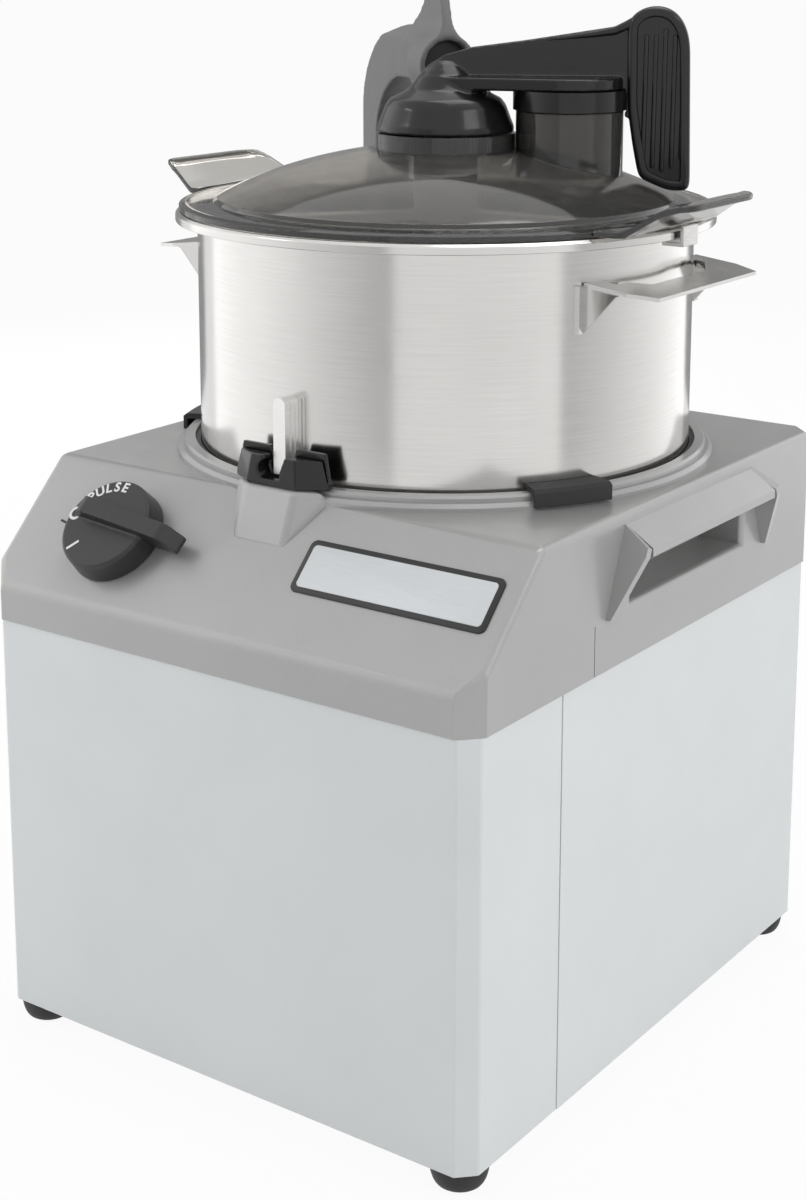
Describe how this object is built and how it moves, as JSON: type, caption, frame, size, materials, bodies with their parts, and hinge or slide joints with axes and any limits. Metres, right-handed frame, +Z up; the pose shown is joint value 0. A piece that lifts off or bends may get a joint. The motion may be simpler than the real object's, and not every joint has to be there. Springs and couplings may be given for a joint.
{
  "type": "bench food processor",
  "caption": "Bench food processor: box base with a motor, lift-out steel bowl with knife, smoked lid with a scraper handle and feed tube, control knob and safety arm.",
  "frame": {"origin": "on the surface it stands on, under the middle of the base", "axes": "+Z up; +Y to the back, away from the control knob; +X to the right as seen from the front"},
  "size_m": [0.326, 0.33, 0.5077],
  "materials": {
    "panel_white": "matt white paint",
    "cast_grey": "fine metallic grey paint",
    "bowl_steel": "satin stainless steel",
    "steel": "bare machined steel",
    "zinc": "bright zinc plate",
    "black_rubber": "matt black rubber",
    "black_plastic": "polished black plastic",
    "knob_grey": "satin dark grey plastic",
    "smoked": "smoked clear plastic",
    "clear": "clear plastic",
    "white_plastic": "white moulded plastic",
    "arm_grey": "matt grey paint",
    "motor_alu": "die-cast aluminium",
    "motor_paint": "dark grey enamel",
    "laminations": "varnished steel laminations",
    "bronze": "sintered bronze",
    "board_green": "circuit board",
    "can_grey": "drawn aluminium can"
  },
  "bodies": {
    "base": {"base_plate": "zinc", "feet": "black_rubber", "foot_screws": "zinc", "front_panel": "panel_white", "rear_panel": "panel_white", "panel_screws": "zinc", "cord_gland": "black_plastic", "top_cover": "cast_grey", "lock_bracket": "knob_grey", "seat_ring": "black_rubber", "seat_pads": "black_rubber", "motor_flange": "motor_alu", "flange_bolts": "zinc", "upper_bearing": "steel", "shaft_seal": "black_rubber", "motor_shell": "motor_paint", "stator": "laminations", "end_bell": "motor_alu", "lower_bearing": "steel", "capacitor": "can_grey", "capacitor_clip": "zinc", "control_board": "board_green", "switch_body": "knob_grey", "interlock_switch": "knob_grey", "arm_bush": "bronze"},
    "drive": {"drive_shaft": "steel", "rotor": "laminations", "cooling_fan": "knob_grey"},
    "bowl": {"bowl_shell": "bowl_steel", "bowl_tube": "bowl_steel", "bowl_handle_left": "steel", "bowl_handle_right": "steel", "lock_lug": "steel"},
    "knife": {"knife_hub": "white_plastic", "knife_blade_lower": "steel", "knife_blade_upper": "steel", "knife_cap": "knob_grey"},
    "lid": {"lid_dome": "smoked", "feed_tube": "clear", "lid_grip_left": "smoked", "lid_grip_right": "smoked", "lid_hooks": "steel", "lid_seal": "white_plastic", "lid_bush": "white_plastic"},
    "scraper": {"scraper_handle": "black_plastic", "tube_stopper": "black_plastic", "scraper_shaft": "steel", "scraper_frame": "white_plastic", "scraper_blades": "white_plastic"},
    "knob": {"knob": "knob_grey", "knob_spindle": "steel"},
    "arm": {"arm_post": "steel", "safety_arm": "arm_grey", "arm_pad": "black_rubber", "arm_cam": "white_plastic"}
  },
  "joints": [
    {"name": "drive_spin", "type": "hinge", "parent": "base", "child": "drive", "pos_m": [0, 0.0232, 0.13], "axis": [0, 0, 1], "continuous": true},
    {"name": "bowl_lift", "type": "slide", "parent": "base", "child": "bowl", "axis": [0, 0, 1], "range_m": [0, 0.016]},
    {"name": "knife_spin", "type": "hinge", "parent": "bowl", "child": "knife", "pos_m": [0, 0.0232, 0.3], "axis": [0, 0, 1], "continuous": true},
    {"name": "lid_turn", "type": "hinge", "parent": "bowl", "child": "lid", "pos_m": [0, 0.0232, 0.405], "axis": [0, 0, 1], "range_deg": [0, 30]},
    {"name": "scraper_turn", "type": "hinge", "parent": "lid", "child": "scraper", "pos_m": [0, 0.0232, 0.44], "axis": [0, 0, 1], "range_deg": [-180, 40]},
    {"name": "knob_turn", "type": "hinge", "parent": "base", "child": "knob", "pos_m": [-0.079, -0.136, 0.2565], "axis": [0, -0.7071, 0.7071], "range_deg": [-45, 65]},
    {"name": "arm_swing", "type": "hinge", "parent": "base", "child": "arm", "pos_m": [-0.11516, 0.12947, 0.3], "axis": [0, 0, 1], "range_deg": [0, 100]}
  ],
  "couplings": [
    {"joint": "knife_spin", "follows": "drive_spin", "ratio": 1}
  ]
}
